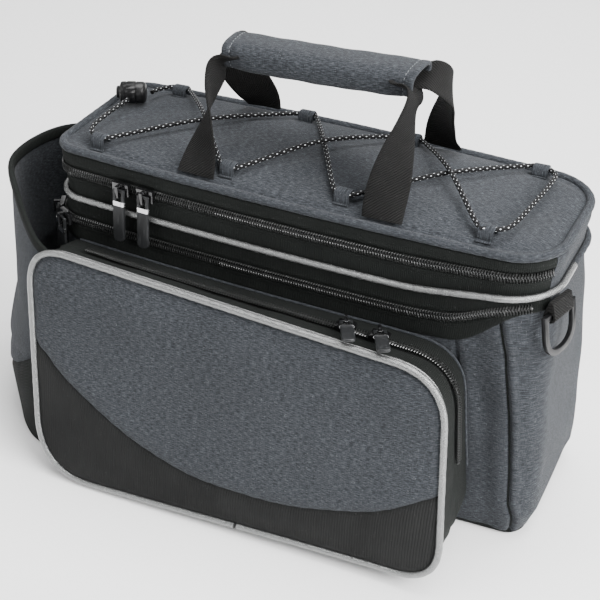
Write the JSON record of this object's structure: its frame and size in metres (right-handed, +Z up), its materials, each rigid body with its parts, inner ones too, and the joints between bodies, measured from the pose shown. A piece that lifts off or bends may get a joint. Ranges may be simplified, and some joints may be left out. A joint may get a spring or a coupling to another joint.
{
  "type": "bicycle trunk bag",
  "caption": "Soft bicycle trunk bag in grey heather and black cloth, with a laced lid, padded handle, zipped front pocket and open bottle pocket",
  "frame": {"origin": "middle of the base, on the plane that the bag stands on", "axes": "+X along the bag's length, away from the bottle pocket; -Y towards the front pocket; +Z up"},
  "size_m": [0.4415, 0.2168, 0.3173],
  "materials": {
    "heather_cloth": "two-tone grey heather weave",
    "black_cloth": "fine ribbed black weave",
    "webbing": "ribbed black webbing",
    "piping": "silver reflective cloth",
    "zip_coil": "black nylon coil",
    "elastic_cord": "black and white flecked braid",
    "black_plastic": "moulded, satin",
    "slider_metal": "glossy black enamel",
    "pull_rubber": "moulded, matt"
  },
  "bodies": {
    "bag": {"body_shell": "heather_cloth", "lid_panel": "heather_cloth", "lid_roll": "heather_cloth", "lid_band_back": "heather_cloth", "pocket_panel_upper": "heather_cloth", "bottle_pocket_upper": "heather_cloth", "handle_wrap": "heather_cloth", "lace_loop_front_1": "heather_cloth", "lace_loop_front_2": "heather_cloth", "lace_loop_front_3": "heather_cloth", "lace_loop_front_4": "heather_cloth", "lace_loop_back_1": "heather_cloth", "lace_loop_back_2": "heather_cloth", "lace_loop_back_3": "heather_cloth", "lace_loop_back_4": "heather_cloth", "base_panel": "black_cloth", "expansion_band": "black_cloth", "lid_band_front": "black_cloth", "pocket_gusset": "black_cloth", "pocket_panel_lower": "black_cloth", "bottle_pocket_lower": "black_cloth", "bottle_pocket_binding": "black_cloth", "strap_front_left": "webbing", "strap_front_right": "webbing", "strap_back_left": "webbing", "strap_back_right": "webbing", "ring_tab": "webbing", "body_piping": "piping", "pocket_piping": "piping", "expansion_zipper": "zip_coil", "lid_zipper": "zip_coil", "pocket_zipper": "zip_coil", "lace_cord": "elastic_cord", "cord_lock": "black_plastic", "slider_lid_left": "slider_metal", "slider_lid_right": "slider_metal", "slider_expansion_left": "slider_metal", "slider_expansion_right": "slider_metal", "slider_pocket_left": "slider_metal", "slider_pocket_right": "slider_metal"},
    "pull_lid_left": {"pull_lid_left": "pull_rubber"},
    "pull_lid_right": {"pull_lid_right": "pull_rubber"},
    "pull_expansion_left": {"pull_expansion_left": "pull_rubber"},
    "pull_expansion_right": {"pull_expansion_right": "pull_rubber"},
    "pull_pocket_left": {"pull_pocket_left": "pull_rubber"},
    "pull_pocket_right": {"pull_pocket_right": "pull_rubber"},
    "d_ring": {"d_ring": "black_plastic"}
  },
  "joints": [
    {"name": "pull_lid_left_hinge", "type": "hinge", "parent": "bag", "child": "pull_lid_left", "pos_m": [-0.12422, -0.06847, 0.2114], "axis": [-0.999, 0.0437, 0], "range_deg": [0, 105]},
    {"name": "pull_lid_right_hinge", "type": "hinge", "parent": "bag", "child": "pull_lid_right", "pos_m": [-0.10418, -0.06928, 0.2114], "axis": [-0.9993, 0.0367, 0], "range_deg": [0, 105]},
    {"name": "pull_expansion_left_hinge", "type": "hinge", "parent": "bag", "child": "pull_expansion_left", "pos_m": [-0.18977, -0.05115, 0.174], "axis": [-0.4258, 0.9048, 0], "range_deg": [0, 45]},
    {"name": "pull_expansion_right_hinge", "type": "hinge", "parent": "bag", "child": "pull_expansion_right", "pos_m": [-0.17766, -0.06465, 0.174], "axis": [-0.8763, 0.4818, 0], "range_deg": [0, 30]},
    {"name": "pull_pocket_left_hinge", "type": "hinge", "parent": "bag", "child": "pull_pocket_left", "pos_m": [0.058, -0.08582, 0.16717], "axis": [-0.8988, -0.4384, 0], "range_deg": [0, 90]},
    {"name": "pull_pocket_right_hinge", "type": "hinge", "parent": "bag", "child": "pull_pocket_right", "pos_m": [0.082, -0.08561, 0.16652], "axis": [-0.8988, -0.4384, 0], "range_deg": [0, 90]},
    {"name": "d_ring_hinge", "type": "hinge", "parent": "bag", "child": "d_ring", "pos_m": [0.18631, -0.03967, 0.1868], "axis": [-0.2741, -0.9617, 0], "range_deg": [0, 100]}
  ]
}
